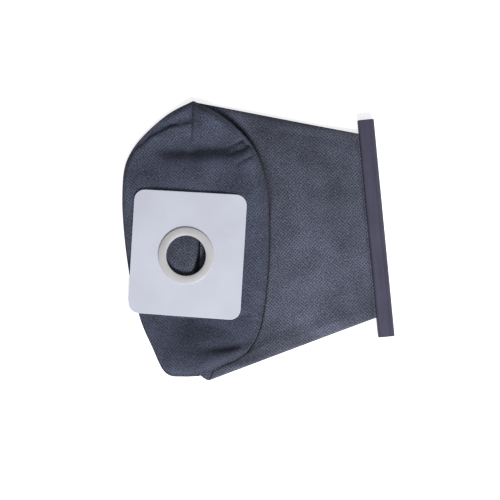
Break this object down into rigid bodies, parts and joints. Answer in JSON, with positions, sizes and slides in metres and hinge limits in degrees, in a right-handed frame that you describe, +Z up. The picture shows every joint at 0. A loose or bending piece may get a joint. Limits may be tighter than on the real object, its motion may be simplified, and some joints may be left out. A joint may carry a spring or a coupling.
{
  "type": "vacuum dust bag",
  "caption": "Reusable cloth dust bag for a vacuum cleaner, lying flat: stiff inlet collar with a rubber seal, tail folded over and closed by a plastic channel that slides along it.",
  "frame": {"origin": "middle of the footprint, on the surface that the bag lies on", "axes": "+Z up, +X from the inlet end towards the closing clip, +Y along the closing clip"},
  "size_m": [0.2334, 0.2478, 0.0214],
  "materials": {
    "bag_cloth": "matte embossed nonwoven",
    "collar_board": "smooth matte white board",
    "seal_rubber": "smooth ivory-grey rubber",
    "clip_plastic": "satin extruded plastic"
  },
  "bodies": {
    "bag": {"back_panel": "bag_cloth", "front_panel": "bag_cloth", "end_panel": "bag_cloth", "collar_plate": "collar_board", "inlet_seal": "seal_rubber"},
    "clip": {"closing_clip": "clip_plastic"}
  },
  "joints": [
    {"name": "clip_slide", "type": "slide", "parent": "bag", "child": "clip", "axis": [0, 1, 0], "range_m": [-0.176, 0.182]}
  ]
}
